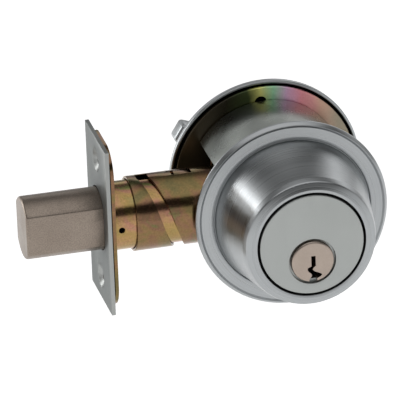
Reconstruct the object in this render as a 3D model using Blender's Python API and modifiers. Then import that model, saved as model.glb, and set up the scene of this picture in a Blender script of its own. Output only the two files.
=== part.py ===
"""Single-cylinder deadbolt door lock: key side, latch and thumbturn side, as they sit on a door.

The origin is where the lock's axis (Y) crosses the latch's axis (X). -Y is the key side, +Y the
thumbturn side, -X points at the door's edge and +Z is up. The dimensions are in millimetres, and
the helpers turn them into metres.
"""

import math

import bmesh
import bpy
from mathutils import Matrix, Vector

MM = 0.001
GAP = 0.3  # between pieces that touch
MERGE = 1e-5
BIG = 40  # sides of a large round piece
SMALL = 20
TINY = 10

# Door and latch
BACKSET = 60.325  # lock axis to the faceplate's front
THROW = 25.4
PLATE_WIDTH = 28.575
PLATE_HEIGHT = 57.15
PLATE_THICK = 1.3
PLATE_SCREW_Z = 20.6
BACKING_THICK = 1.1
BACKING_CORNER = 9.0
WINDOW_HALF = 9.5  # the openings behind the faceplate's screw holes
WINDOW_INNER = 15.4
WINDOW_OUTER = 23.4
BOLT_RADIUS = 10.3
BOLT_FLAT = 7.94  # half the bolt's thickness, between its flats
BOLT_REAR = -51.5
EDGE_ROUND = 1.0
TUBE_RADIUS = 11.2
TUBE_BORE = 10.5
TUBE_REAR = -30.0
SLEEVE_RADIUS = 12.28
SLEEVE_BORE = 11.45
SLEEVE_FRONT = -50.2
SLEEVE_REAR = -21.3
SLOT_WIDTH = 4.0  # the slanting slot in the sleeve, along X
SLOT_RISE = 12.0  # its advance from the top of the sleeve to the bottom
SLOT_TOP_X = -47.4
SLOT_FIRST = 93  # where it starts and how far it goes round, in degrees
SLOT_SWING = 185
PEEP = (-55.1, -0.5, 1.05)  # the small hole in the front tube: X, Z, radius
NOTCH_BACK = 3.2  # the square mouth of the slot reaches this far behind the top
LANCE_FRONT = (-35.9, -34.9)  # the two lances pressed in the sleeve's top, along X
LANCE_REAR = (-30.2, -29.2)
LANCE_REACH = (-1.2, 2.6)  # along Y
CASE_SIDE = 8.9
CASE_WALL = 1.2
CASE_FRONT = -20.5
CASE_REAR = 18.9
CASE_LOW = -13.0
CASE_HIGH = 13.6
TONGUE_FRONT = -25.5
TONGUE_HALF = 6.8

# Key and thumbturn axis, and the crank that throws the bolt
AXIS_Z = -5.88
CRANK = THROW / math.sqrt(2)  # its pin swings 45 degrees each side of upright
CRANK_ANGLE = math.radians(45)
CRANK_PIN = 1.6
SLOT_PLAY = 0.75  # the pin's room in the bar's slot, each side
ARM_WIDTH = 5.2
ARM_INNER = 2.0
ARM_OUTER = 4.0
HUB_RADIUS = 5.5
HUB_HALF = 9.0
BAR_HALF = 1.3
BAR_LOW = 0.4
BAR_HIGH = 6.6
BAR_TALL = 14.2
TAIL_WIDTH = 7.2
TAIL_THICK = 2.2
TAIL_START = -14.6
TAIL_END = 33.5

# Key side
COLLAR_BACK = -15.2
COLLAR_RADIUS = 31.9
GROOVE_RADIUS = 25.7
NOSE_RADIUS = 21.9
NOSE_Y = -38.6
FACE_Y = -41.9
LIP_BORE = 17.75
SHELL_RADIUS = 17.0
FACE_RADIUS = 17.2
PLUG_RADIUS = 6.35
PLUG_BORE = 6.62
PLUG_HEAD = 7.05
PLUG_FRONT = FACE_Y - 0.6
PLUG_CHAMFER = 0.5
PLUG_MOUTH = 7.7
MOUTH_DEPTH = 1.6
PIN_COUNT = 5
PIN_PITCH = 3.97
PIN_FIRST_Y = -37.1
PIN_RADIUS = 1.3
CHAMBER_RADIUS = 1.5
CHAMBER_TOP = 14.4
SHEAR_Z = AXIS_Z + PLUG_RADIUS
KEY_PIN_LENGTHS = (4.2, 5.0, 4.6, 5.4, 4.0)
DRIVER_LENGTH = 3.8
SPRING_TURNS = 3
SPRING_STEPS = 7  # points in each turn
SPRING_WIRE = 0.2
HOUSING_RADIUS = 26.0
HOUSING_BORE = 24.0
HOUSING_REAR = 17.0
WEB_FRONT = -14.8
WEB_BACK = -12.6
SHOULDER_RADIUS = 24.6  # a step that clears the edge of the door's hole
SHOULDER_Y = -13.15
NECK_RADIUS = 20.2
LATCH_SLOT = 14.0  # half height of the housing's opening for the latch
POST_Z = 19.8
POST_RADIUS = 4.0
POST_END = -2.0

# Thumbturn side
MOUNT_Y = 17.7
MOUNT_THICK = 1.2
MOUNT_RADIUS = 30.25
MOUNT_HOLE_Z = 25.1
MOUNT_HOLE_TILT = math.radians(2)
ROSE_RADIUS = 32.1
ROSE_FACE = 30.6
ROSE_SCREW_X = 28.3
TURN_ANGLE = math.radians(33)  # of the wing above level, with the bolt thrown
TURN_HUB = 9.6
WING_LENGTH = 29.4
WING_HALF_TIP = 3.3
WING_CORNER = 1.2
WING_LOW = 35.2
WING_HIGH = 41.5

FINISHES = {
    "satin_chrome": ((0.48, 0.50, 0.51), 0.34, 1.0),
    "satin_nickel": ((0.47, 0.43, 0.40), 0.38, 1.0),
    "yellow_zinc": ((0.52, 0.42, 0.22), 0.32, 1.0),
    "die_cast_zinc": ((0.36, 0.37, 0.37), 0.42, 1.0),
    "plain_steel": ((0.42, 0.42, 0.43), 0.4, 1.0),
    "hardened_steel": ((0.2, 0.2, 0.21), 0.35, 1.0),
    "brass": ((0.62, 0.45, 0.18), 0.32, 1.0),
    "nickel_brass": ((0.56, 0.5, 0.46), 0.3, 1.0),
}

SIDES = {"edge_side": -1, "far_side": 1}

TURN_TO = {
    # local Z runs along the named axis; a flat outline's two directions are the other two axes
    "Y": Matrix(((1, 0, 0), (0, 0, -1), (0, 1, 0))).to_4x4(),
    "X": Matrix(((0, 0, 1), (1, 0, 0), (0, 1, 0))).to_4x4(),
    "Z": Matrix.Identity(4),
}


def clear_scene():
    for obj in list(bpy.data.objects):
        bpy.data.objects.remove(obj, do_unlink=True)


def new_collection(name):
    found = bpy.data.collections.new(name)
    bpy.context.scene.collection.children.link(found)
    return found


def make_finish(name):
    color, roughness, metallic = FINISHES[name]
    found = bpy.data.materials.new(name)
    found.use_nodes = True
    shader = found.node_tree.nodes["Principled BSDF"]
    shader.inputs["Base Color"].default_value = (*color, 1)
    shader.inputs["Roughness"].default_value = roughness
    shader.inputs["Metallic"].default_value = metallic
    return found


def place(name, mesh, matrix, is_tool=False):
    """A new object in the parts' collection, or in the cutters' when it only shapes others."""
    obj = bpy.data.objects.new(name, mesh)
    obj.matrix_world = matrix
    if is_tool:
        obj.hide_render = True
        obj.display_type = "WIRE"
        cutters.objects.link(obj)
    else:
        parts.objects.link(obj)
    return obj


def solid_object(name, solid, matrix=None, is_tool=False):
    bmesh.ops.recalc_face_normals(solid, faces=solid.faces)
    mesh = bpy.data.meshes.new(name)
    solid.to_mesh(mesh)
    solid.free()
    return place(name, mesh, matrix or Matrix.Identity(4), is_tool)


def turned(name, outline, along="Y", steps=BIG, centre=(0, 0), is_tool=False):
    """A turned solid from (radius, station) points; centre is where its axis crosses the other two axes."""
    area = sum(
        a[0] * -b[1] - b[0] * -a[1] for a, b in zip(outline, outline[1:] + outline[:1])
    )
    points = list(outline) if area < 0 else list(reversed(outline))
    closed = all(radius > 0 for radius, _ in points)
    if not closed:
        while not (points[0][0] == 0 and points[-1][0] == 0):
            points = points[1:] + points[:1]
    edges = [(i, i + 1) for i in range(len(points) - 1)]
    if closed:
        edges.append((len(points) - 1, 0))
    mesh = bpy.data.meshes.new(name)
    mesh.from_pydata([(r * MM, 0, -s * MM) for r, s in points], edges, [])
    if along == "Y":
        turn = Matrix.Rotation(math.pi / 2, 4, "X")
        matrix = Matrix.Translation((centre[0] * MM, 0, centre[1] * MM)) @ turn
    else:
        turn = Matrix.Rotation(-math.pi / 2, 4, "Y")
        matrix = Matrix.Translation((0, centre[0] * MM, centre[1] * MM)) @ turn
    obj = place(name, mesh, matrix, is_tool)
    spin = obj.modifiers.new("Turn", "SCREW")
    spin.axis = "Z"
    spin.steps = steps
    spin.render_steps = steps
    spin.use_merge_vertices = True
    spin.merge_threshold = MERGE
    return obj


def rods(name, ends, radius, sides=SMALL, is_tool=False):
    """Separate round bars in one object, each from one end point to the other."""
    solid = bmesh.new()
    for start, end in ends:
        start = Vector(start) * MM
        end = Vector(end) * MM
        turn = (end - start).to_track_quat("Z", "Y").to_matrix().to_4x4()
        bmesh.ops.create_cone(
            solid,
            cap_ends=True,
            segments=sides,
            radius1=radius * MM,
            radius2=radius * MM,
            depth=(end - start).length,
            matrix=Matrix.Translation((start + end) / 2) @ turn,
        )
    return solid_object(name, solid, is_tool=is_tool)


def block(name, low, high, corner=0.0, corner_axis=None, segments=3, is_tool=False):
    """A box between two corners; corner rounds its edges, or only those along corner_axis."""
    low = Vector(low) * MM
    high = Vector(high) * MM
    solid = bmesh.new()
    bmesh.ops.create_cube(solid, size=1)
    bmesh.ops.scale(solid, vec=high - low, verts=solid.verts)
    bmesh.ops.translate(solid, vec=(low + high) / 2, verts=solid.verts)
    if corner:
        edges = list(solid.edges)
        if corner_axis is not None:
            edges = [e for e in edges if abs((e.verts[1].co - e.verts[0].co)[corner_axis]) > MERGE]
        bmesh.ops.bevel(solid, geom=edges, offset=corner * MM, segments=segments, profile=0.5, affect="EDGES")
    return solid_object(name, solid, is_tool=is_tool)


def extruded(name, outline, low, high, along="Y", is_tool=False):
    """A flat outline given depth from low to high: (x, z) points along Y, (y, z) along X, (x, y) along Z."""
    curve = bpy.data.curves.new(name, "CURVE")
    curve.dimensions = "2D"
    curve.fill_mode = "BOTH"
    curve.extrude = (high - low) / 2 * MM
    line = curve.splines.new("POLY")
    line.points.add(len(outline) - 1)
    for point, (a, b) in zip(line.points, outline):
        point.co = (a * MM, b * MM, 0, 1)
    line.use_cyclic_u = True
    sketch = bpy.data.objects.new(name, curve)
    parts.objects.link(sketch)
    shift = {"X": (1, 0, 0), "Y": (0, 1, 0), "Z": (0, 0, 1)}[along]
    matrix = Matrix.Translation(Vector(shift) * (low + high) / 2 * MM) @ TURN_TO[along]
    return solid_object(name, mesh_of_curve(sketch), matrix, is_tool)


def mesh_of(obj):
    """The evaluated shape of an object as a bmesh."""
    bpy.context.view_layer.update()
    graph = bpy.context.evaluated_depsgraph_get()
    mesh = bpy.data.meshes.new_from_object(obj.evaluated_get(graph))
    solid = bmesh.new()
    solid.from_mesh(mesh)
    bpy.data.meshes.remove(mesh)
    return solid


def mesh_of_curve(curve_obj):
    """A curve's shape with its loose caps welded on; the curve object is removed."""
    solid = mesh_of(curve_obj)
    bpy.data.objects.remove(curve_obj, do_unlink=True)
    bmesh.ops.remove_doubles(solid, verts=solid.verts, dist=MERGE)
    return solid


def shape_with(obj, operation, tools):
    for tool in tools:
        boolean = obj.modifiers.new(tool.name, "BOOLEAN")
        boolean.operation = operation
        boolean.object = tool
        boolean.solver = "EXACT"


def cut(obj, *tools):
    shape_with(obj, "DIFFERENCE", tools)


def join(obj, *tools):
    shape_with(obj, "UNION", tools)


def settle(obj, finish, joint_axis=None):
    """Applies the modifiers, gives the piece its finish and hangs it on its joint's empty."""
    solid = mesh_of(obj)
    obj.modifiers.clear()
    mesh = bpy.data.meshes.new(obj.name)
    solid.to_mesh(mesh)
    solid.free()
    obj.data = mesh
    mesh.materials.append(finishes[finish])
    mesh.shade_smooth()
    mesh.set_sharp_from_angle(angle=math.radians(32))
    if joint_axis is not None:
        obj.parent = joint_axis
        obj.matrix_parent_inverse = Matrix.Translation(joint_axis.location).inverted()
    return obj


def twin(obj, name, offset):
    """A second piece of the same shape, moved by this offset."""
    return place(name, obj.data, Matrix.Translation(Vector(offset) * MM) @ obj.matrix_world)


def joint_empty(name, spot):
    obj = bpy.data.objects.new(name, None)
    obj.location = Vector(spot) * MM
    obj.empty_display_size = 10 * MM
    parts.objects.link(obj)
    return obj


def ring(inner, outer, low, high):
    """The outline of a flat ring or a tube, for a turned piece."""
    return [(inner, low), (outer, low), (outer, high), (inner, high)]


def turned_point(radius, angle):
    """A point around the key axis, at this angle from upright towards -X."""
    return (-radius * math.sin(angle), AXIS_Z + radius * math.cos(angle))


def capsule(start, end, width, segments=6):
    """The outline of a bar with round ends, between two (x, z) points."""
    angle = math.atan2(end[1] - start[1], end[0] - start[0])
    points = []
    for centre, first in ((end, angle - math.pi / 2), (start, angle + math.pi / 2)):
        for step in range(segments + 1):
            bend = first + math.pi * step / segments
            points.append((centre[0] + width / 2 * math.cos(bend), centre[1] + width / 2 * math.sin(bend)))
    return points


def teardrop():
    """The thumbturn's outline: a round hub whose sides run on to a narrow tip with small round corners."""
    tip = Vector((WING_LENGTH - WING_CORNER, WING_HALF_TIP - WING_CORNER))
    lean = math.atan2(tip.y, tip.x) + math.acos((TURN_HUB - WING_CORNER) / tip.length)
    arcs = (
        (Vector((0, 0)), TURN_HUB, lean, 2 * math.pi - lean, 16),
        (Vector((tip.x, -tip.y)), WING_CORNER, -lean, 0, 3),
        (tip, WING_CORNER, 0, lean, 3),
    )
    away = Vector((-math.cos(TURN_ANGLE), math.sin(TURN_ANGLE)))
    aside = Vector((away.y, -away.x))
    points = []
    for centre, radius, first, last, steps in arcs:
        for step in range(steps + 1):
            bend = first + (last - first) * step / steps
            spot = centre + radius * Vector((math.cos(bend), math.sin(bend)))
            place_at = away * spot.x + aside * spot.y
            points.append((place_at.x, AXIS_Z + place_at.y))
    return points


def bar_section(width, thick, angle):
    """The four corners of a flat bar's section on the key axis, its width turned from upright."""
    along = Vector((-math.sin(angle), math.cos(angle)))
    across = Vector((math.cos(angle), math.sin(angle)))
    corners = []
    for a, b in ((1, 1), (-1, 1), (-1, -1), (1, -1)):
        spot = along * a * width / 2 + across * b * thick / 2
        corners.append((spot.x, AXIS_Z + spot.y))
    return corners


def pin_rows():
    return [PIN_FIRST_Y + PIN_PITCH * row for row in range(PIN_COUNT)]


# Key side


def make_collar():
    outline = [
        (GROOVE_RADIUS - 0.8, COLLAR_BACK),
        (COLLAR_RADIUS - 0.3, COLLAR_BACK),
        (COLLAR_RADIUS, COLLAR_BACK - 0.4),
        (COLLAR_RADIUS - 0.1, COLLAR_BACK - 1.1),
        (COLLAR_RADIUS - 0.7, COLLAR_BACK - 1.8),
        (COLLAR_RADIUS - 1.6, COLLAR_BACK - 2.1),
        (COLLAR_RADIUS - 2.5, COLLAR_BACK - 1.8),
        (GROOVE_RADIUS + 0.4, COLLAR_BACK - 1.4),
        (GROOVE_RADIUS - 0.1, COLLAR_BACK - 1.6),
        (NOSE_RADIUS, NOSE_Y),
        (NOSE_RADIUS - 0.4, NOSE_Y - 1.3),
        (NOSE_RADIUS - 1.2, NOSE_Y - 2.3),
        (NOSE_RADIUS - 2.1, NOSE_Y - 2.8),
        (LIP_BORE + 0.6, NOSE_Y - 3.2),
        (LIP_BORE, NOSE_Y - 2.9),
        (LIP_BORE, NOSE_Y + 0.2),
        (NOSE_RADIUS - 1.9, NOSE_Y + 0.2),
        (22.3, -19.6),
        (23.6, -19.5),
        (23.6, -17.0),
        (GROOVE_RADIUS - 0.8, -16.9),
    ]
    settle(turned("outside_collar", outline), "satin_chrome", collar_axis)
    retainer = turned("collar_retainer", ring(20.7, GROOVE_RADIUS - 1.1, -16.7, -15.5))
    settle(retainer, "plain_steel", collar_axis)


def make_housing():
    """The cast body that fills the door's large hole, open on the latch side and at the back."""
    outline = [
        (0, WEB_BACK),
        (0, WEB_FRONT),
        (SHELL_RADIUS + 0.4, WEB_FRONT),
        (SHELL_RADIUS + 0.4, -19.1),
        (23.2, -19.1),
        (23.2, -17.3),
        (NECK_RADIUS, -17.3),
        (NECK_RADIUS, WEB_FRONT),
        (SHOULDER_RADIUS, WEB_FRONT),
        (SHOULDER_RADIUS, SHOULDER_Y),
        (HOUSING_RADIUS, SHOULDER_Y),
        (HOUSING_RADIUS, HOUSING_REAR),
        (HOUSING_BORE, HOUSING_REAR),
        (HOUSING_BORE, WEB_BACK),
    ]
    housing = turned("cylinder_housing", outline)
    posts = rods(
        "post_stock",
        [((0, WEB_BACK - 0.8, side * POST_Z), (0, POST_END, side * POST_Z)) for side in (1, -1)],
        POST_RADIUS,
        is_tool=True,
    )
    threads = rods(
        "post_holes",
        [((0, -13.6, side * POST_Z), (0, 0, side * POST_Z)) for side in (1, -1)],
        2.7,
        TINY,
        is_tool=True,
    )
    slot = block("latch_opening", (-30, WEB_BACK + 0.1, -LATCH_SLOT), (-15, 20, LATCH_SLOT), is_tool=True)
    web_hole = rods("tail_opening", [((0, -18, AXIS_Z), (0, -10, AXIS_Z))], 8.6, is_tool=True)
    screw_holes = rods(
        "shell_screw_openings",
        [((side * 12.5, -18, -3), (side * 12.5, -10, -3)) for side in (1, -1)],
        1.9,
        TINY,
        is_tool=True,
    )
    join(housing, posts)
    cut(housing, threads, slot, web_hole, screw_holes)
    settle(housing, "die_cast_zinc")


def make_cylinder():
    outline = [
        (0, FACE_Y),
        (FACE_RADIUS - 0.5, FACE_Y),
        (FACE_RADIUS, FACE_Y + 0.5),
        (FACE_RADIUS, -36.0),
        (SHELL_RADIUS, -35.8),
        (SHELL_RADIUS, WEB_FRONT - GAP),
        (0, WEB_FRONT - GAP),
    ]
    shell = turned("cylinder_shell", outline)
    bore = rods("plug_bore", [((0, -50, AXIS_Z), (0, -10, AXIS_Z))], PLUG_BORE, BIG, is_tool=True)
    mouth_ends = [((0, -50, AXIS_Z), (0, FACE_Y + MOUTH_DEPTH, AXIS_Z))]
    mouth = rods("plug_mouth", mouth_ends, PLUG_MOUTH, BIG, is_tool=True)
    chambers = rods(
        "pin_chambers",
        [((0, y, AXIS_Z + 3), (0, y, 20)) for y in pin_rows()],
        CHAMBER_RADIUS,
        TINY,
        is_tool=True,
    )
    milled = block("cover_slot", (-2.8, -40, CHAMBER_TOP), (2.8, -18.4, 20), is_tool=True)
    threads = rods(
        "shell_screw_holes",
        [((side * 12.5, -24, -3), (side * 12.5, -10, -3)) for side in (1, -1)],
        1.75,
        TINY,
        is_tool=True,
    )
    cut(shell, bore, mouth, chambers, milled, threads)
    settle(shell, "satin_chrome")
    cover_low = (-2.5, -39.6, CHAMBER_TOP + GAP)
    settle(block("spring_cover", cover_low, (2.5, -18.8, CHAMBER_TOP + 1.0)), "brass")
    screw = [(0, -23), (1.45, -23), (1.45, WEB_BACK + GAP), (2.9, WEB_BACK + GAP), (2.9, -11), (0, -11)]
    for name, side in SIDES.items():
        piece = turned("cylinder_screw_" + name, screw, steps=TINY, centre=(side * 12.5, -3))
        settle(piece, "plain_steel")


def make_plug():
    head_back = FACE_Y + MOUTH_DEPTH - GAP
    outline = [
        (0, PLUG_FRONT),
        (PLUG_HEAD - PLUG_CHAMFER, PLUG_FRONT),
        (PLUG_HEAD, PLUG_FRONT + PLUG_CHAMFER),
        (PLUG_HEAD, head_back),
        (PLUG_RADIUS, head_back),
        (PLUG_RADIUS, -14.5),
        (4.9, -14.5),
        (4.9, -13.4),
        (PLUG_RADIUS, -13.4),
        (PLUG_RADIUS, -12.5),
        (0, -12.5),
    ]
    plug = turned("plug", outline, steps=36, centre=(0, AXIS_Z))
    keyway = [
        (-0.75, 2.1),
        (-0.75, -0.6),
        (-1.75, -1.3),
        (-1.75, -2.7),
        (-0.9, -3.6),
        (-1.3, -7.5),
        (1.1, -7.5),
        (1.0, -4.6),
        (2.2, -3.2),
        (0.7, -1.7),
        (0.7, 2.1),
    ]
    key_slot = extruded("key_slot", [(x, AXIS_Z + z) for x, z in keyway], -45, -16.5, is_tool=True)
    recess = rods("tail_recess", [((0, -15.3, AXIS_Z), (0, -10, AXIS_Z))], 4.2, is_tool=True)
    holes = rods(
        "plug_pin_holes",
        [((0, y, AXIS_Z - 0.5), (0, y, AXIS_Z + 8)) for y in pin_rows()],
        CHAMBER_RADIUS,
        TINY,
        is_tool=True,
    )
    cut(plug, key_slot, recess, holes)
    settle(plug, "nickel_brass", plug_axis)
    clip = turned("plug_retainer", ring(5.2, 7.9, -14.35, -13.55), steps=SMALL, centre=(0, AXIS_Z))
    settle(clip, "plain_steel", plug_axis)


def make_pins():
    """The pin stacks as the right key holds them: every key pin ends at the shear line."""
    key_top = SHEAR_Z - 0.25
    rows = pin_rows()
    driver_low = SHEAR_Z + 0.3
    driver_high = driver_low + DRIVER_LENGTH
    for row, (y, length) in enumerate(zip(rows, KEY_PIN_LENGTHS), start=1):
        key_pin = rods(f"key_pin_{row}", [((0, y, key_top - length), (0, y, key_top))], PIN_RADIUS, TINY)
        settle(key_pin, "brass", plug_axis)
        driver = rods(f"driver_pin_{row}", [((0, y, driver_low), (0, y, driver_high))], PIN_RADIUS, TINY)
        settle(driver, "nickel_brass")
    make_springs(driver_high + 0.5, CHAMBER_TOP - 0.3)


def make_springs(low, high):
    """One coil spring over each driver pin."""
    curve = bpy.data.curves.new("spring_path", "CURVE")
    curve.dimensions = "3D"
    curve.bevel_depth = SPRING_WIRE * MM
    curve.bevel_resolution = 2
    curve.use_fill_caps = True
    line = curve.splines.new("POLY")
    count = SPRING_TURNS * SPRING_STEPS
    line.points.add(count)
    radius = PIN_RADIUS - SPRING_WIRE - 0.05
    bottom = low + SPRING_WIRE
    rise = high - low - 2 * SPRING_WIRE
    for step, point in enumerate(line.points):
        angle = 2 * math.pi * step / SPRING_STEPS
        z = bottom + rise * step / count
        point.co = (radius * math.cos(angle) * MM, (PIN_FIRST_Y + radius * math.sin(angle)) * MM, z * MM, 1)
    wire = bpy.data.objects.new("spring_path", curve)
    parts.objects.link(wire)
    coil = solid_object("pin_spring_1", mesh_of_curve(wire))
    settle(coil, "hardened_steel")
    for row in range(1, PIN_COUNT):
        twin(coil, f"pin_spring_{row + 1}", (0, PIN_PITCH * row, 0))


# Latch


def bolt_form(name, radius, flat, front, rear, rounding, is_tool=False):
    """A round bar with two flats, and with its front edges eased."""
    outline = [
        (0, front),
        (radius - rounding, front),
        (radius - rounding * 0.3, front + rounding * 0.3),
        (radius, front + rounding),
        (radius, rear),
        (0, rear),
    ]
    form = turned(name, outline, along="X", is_tool=is_tool)
    reach = radius + 5
    flats = block(
        name + "_flats",
        (front, -flat, -reach),
        (rear + 20, flat, reach),
        corner=rounding,
        segments=2,
        is_tool=True,
    )
    shape_with(form, "INTERSECT", [flats])
    return form


def make_faceplate(bolt_hole):
    front = -BACKSET
    back = front + PLATE_THICK
    half_width = PLATE_WIDTH / 2
    half_height = PLATE_HEIGHT / 2
    faceplate = block("faceplate", (front, -half_width, -half_height), (back, half_width, half_height))
    spots = [(0, side * PLATE_SCREW_Z) for side in (1, -1)]
    sinks = []
    for number, spot in enumerate(spots):
        sink = [(0, front - 1), (4.6, front - 1), (2.5, back - 0.2), (2.5, back + 1), (0, back + 1)]
        sinks.append(
            turned(f"screw_sink_{number}", sink, along="X", steps=SMALL, centre=spot, is_tool=True)
        )
    cut(faceplate, bolt_hole, *sinks)
    settle(faceplate, "satin_chrome")

    front = back + GAP
    back = front + BACKING_THICK
    backing = block(
        "backing_plate",
        (front, -half_width, -half_height + 0.8),
        (back, half_width, half_height - 0.8),
        corner=BACKING_CORNER,
        corner_axis=0,
        segments=6,
    )
    windows = []
    for side in (1, -1):
        low, high = sorted((side * WINDOW_INNER, side * WINDOW_OUTER))
        corners = ((front - 1, -WINDOW_HALF, low), (back + 1, WINDOW_HALF, high))
        window = block("screw_window", *corners, corner=2.5, corner_axis=0, is_tool=True)
        windows.append(window)
    cut(backing, bolt_hole, *windows)
    settle(backing, "yellow_zinc")
    return back


def sweep_slot():
    """The slanting slot's cutter: a block swept from just behind the sleeve's top, round its key side."""
    low = SLEEVE_BORE - 0.6
    high = SLEEVE_RADIUS + 1
    first = math.radians(SLOT_FIRST)
    swing = math.radians(SLOT_SWING)
    steps = 18
    solid = bmesh.new()
    corners = []
    for x, radius in ((0, low), (SLOT_WIDTH, low), (SLOT_WIDTH, high), (0, high)):
        spot = Vector((SLOT_TOP_X + x, radius * math.cos(first), radius * math.sin(first))) * MM
        corners.append(solid.verts.new(spot))
    face = solid.faces.new(corners)
    advance = SLOT_RISE * swing / math.pi / steps
    bmesh.ops.spin(
        solid,
        geom=[face, *face.edges, *face.verts],
        cent=(0, 0, 0),
        axis=(1, 0, 0),
        dvec=(advance * MM, 0, 0),
        angle=swing,
        steps=steps,
    )
    bmesh.ops.remove_doubles(solid, verts=solid.verts, dist=MERGE)
    bmesh.ops.holes_fill(solid, edges=solid.edges)
    return solid_object("slanting_slot", solid, is_tool=True)


def make_tubes(tube_front):
    tube = turned("front_tube", ring(TUBE_BORE, TUBE_RADIUS, tube_front + GAP, TUBE_REAR), along="X")
    peep_x, peep_z, peep_radius = PEEP
    peep_ends = [((peep_x, -15, peep_z), (peep_x, -5, peep_z))]
    peep = rods("tube_peep_hole", peep_ends, peep_radius, TINY, is_tool=True)
    window_low = (SLOT_TOP_X, 0, TUBE_BORE - 2)
    window = block("tube_window", window_low, (SLOT_TOP_X + SLOT_WIDTH, NOTCH_BACK, 15), is_tool=True)
    cut(tube, peep, window)
    settle(tube, "yellow_zinc")

    sleeve = turned("rear_sleeve", ring(SLEEVE_BORE, SLEEVE_RADIUS, SLEEVE_FRONT, SLEEVE_REAR), along="X")
    notch_low = SLEEVE_BORE - 1
    notch = block("slot_mouth", (SLOT_TOP_X, -1, 8), (SLOT_TOP_X + SLOT_WIDTH, NOTCH_BACK, 15), is_tool=True)
    near, far = LANCE_REACH
    lances = []
    for front, rear in (LANCE_FRONT, LANCE_REAR):
        lances.append(block("lance", (front, near, notch_low), (rear, far, 15), is_tool=True))
    cut(sleeve, sweep_slot(), notch, *lances)
    settle(sleeve, "yellow_zinc")


def make_case():
    """The channel behind the tubes, open at the top and the back, that holds the crank's hub."""
    inner = CASE_SIDE - CASE_WALL
    case = block("latch_case", (CASE_FRONT, -CASE_SIDE, CASE_LOW), (CASE_REAR, CASE_SIDE, CASE_HIGH))
    tongue = block(
        "tongue_stock",
        (TONGUE_FRONT, -CASE_SIDE, -TONGUE_HALF),
        (CASE_FRONT + 3, CASE_SIDE, TONGUE_HALF),
        is_tool=True,
    )
    channel = block(
        "case_channel",
        (CASE_FRONT + CASE_WALL, -inner, CASE_LOW + 1.0),
        (CASE_REAR + 5, inner, CASE_HIGH + 5),
        is_tool=True,
    )
    way = block(
        "bar_way",
        (TONGUE_FRONT - 5, -inner, -TONGUE_HALF + CASE_WALL),
        (0, inner, TONGUE_HALF + 5),
        is_tool=True,
    )
    journal = rods("hub_bores", [((0, -20, AXIS_Z), (0, 20, AXIS_Z))], HUB_RADIUS + 0.25, BIG, is_tool=True)
    join(case, tongue)
    cut(case, channel, way, journal)
    settle(case, "yellow_zinc")


def make_bolt():
    front = -BACKSET - THROW
    bolt = bolt_form("deadbolt", BOLT_RADIUS, BOLT_FLAT, front, BOLT_REAR, EDGE_ROUND)
    bar_slot = block(
        "bar_slot",
        (-57.4, -BAR_HALF - GAP, BAR_LOW - GAP),
        (-40, BAR_HALF + GAP, BAR_HIGH + GAP),
        is_tool=True,
    )
    roller_bore = rods("roller_bore", [((-82.3, 0, -4.6), (-45, 0, -4.6))], 3.3, is_tool=True)
    rivet_bore = rods("rivet_bore", [((-54.3, -20, 3.5), (-54.3, 20, 3.5))], 1.65, TINY, is_tool=True)
    cut(bolt, bar_slot, roller_bore, rivet_bore)
    settle(bolt, "satin_nickel", bolt_axis)
    settle(rods("saw_roller", [((-82, 0, -4.6), (-52, 0, -4.6))], 3.0), "hardened_steel", roller_axis)
    settle(rods("bar_rivet", [((-54.3, -7.7, 3.5), (-54.3, 7.7, 3.5))], 1.35, TINY), "plain_steel", bolt_axis)

    pin_x, pin_z = turned_point(CRANK, CRANK_ANGLE)
    half_slot = CRANK_PIN + SLOT_PLAY
    tall_front = pin_x - half_slot - 3.0
    tall_rear = pin_x + half_slot + 2.4
    outline = [
        (-57, BAR_LOW),
        (tall_rear, BAR_LOW),
        (tall_rear, BAR_TALL),
        (tall_front, BAR_TALL),
        (tall_front, BAR_HIGH),
        (-57, BAR_HIGH),
    ]
    bar = extruded("bolt_bar", outline, -BAR_HALF, BAR_HALF)
    slot_top = AXIS_Z + CRANK + CRANK_PIN + 5
    slot_low = pin_z - CRANK_PIN - 0.5
    pin_slot = block(
        "crank_slot",
        (pin_x - half_slot, -5, slot_low),
        (pin_x + half_slot, 5, slot_top),
        is_tool=True,
    )
    cut(bar, pin_slot, rivet_bore)
    settle(bar, "plain_steel", bolt_axis)


def make_crank():
    hub = rods("spindle_cam", [((0, -HUB_HALF, AXIS_Z), (0, HUB_HALF, AXIS_Z))], HUB_RADIUS, 36)
    pin_x, pin_z = turned_point(CRANK, CRANK_ANGLE)
    arm_line = capsule((0, AXIS_Z), (pin_x, pin_z), ARM_WIDTH)
    arms = []
    for side, (low, high) in {"left": (-ARM_OUTER, -ARM_INNER), "right": (ARM_INNER, ARM_OUTER)}.items():
        arms.append(extruded(f"arm_{side}", arm_line, low, high, is_tool=True))
    middle = ARM_INNER + 0.5
    pin = rods("crank_pin", [((pin_x, -middle, pin_z), (pin_x, middle, pin_z))], CRANK_PIN, is_tool=True)
    tail_slot = extruded(
        "tail_slot",
        bar_section(TAIL_WIDTH + 2 * GAP, TAIL_THICK + 2 * GAP, CRANK_ANGLE),
        -20,
        20,
        is_tool=True,
    )
    join(hub, *arms, pin)
    cut(hub, tail_slot)
    settle(hub, "plain_steel", turn_axis)
    tail = extruded("tailpiece", bar_section(TAIL_WIDTH, TAIL_THICK, CRANK_ANGLE), TAIL_START, TAIL_END)
    settle(tail, "plain_steel", turn_axis)


# Thumbturn side


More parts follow.
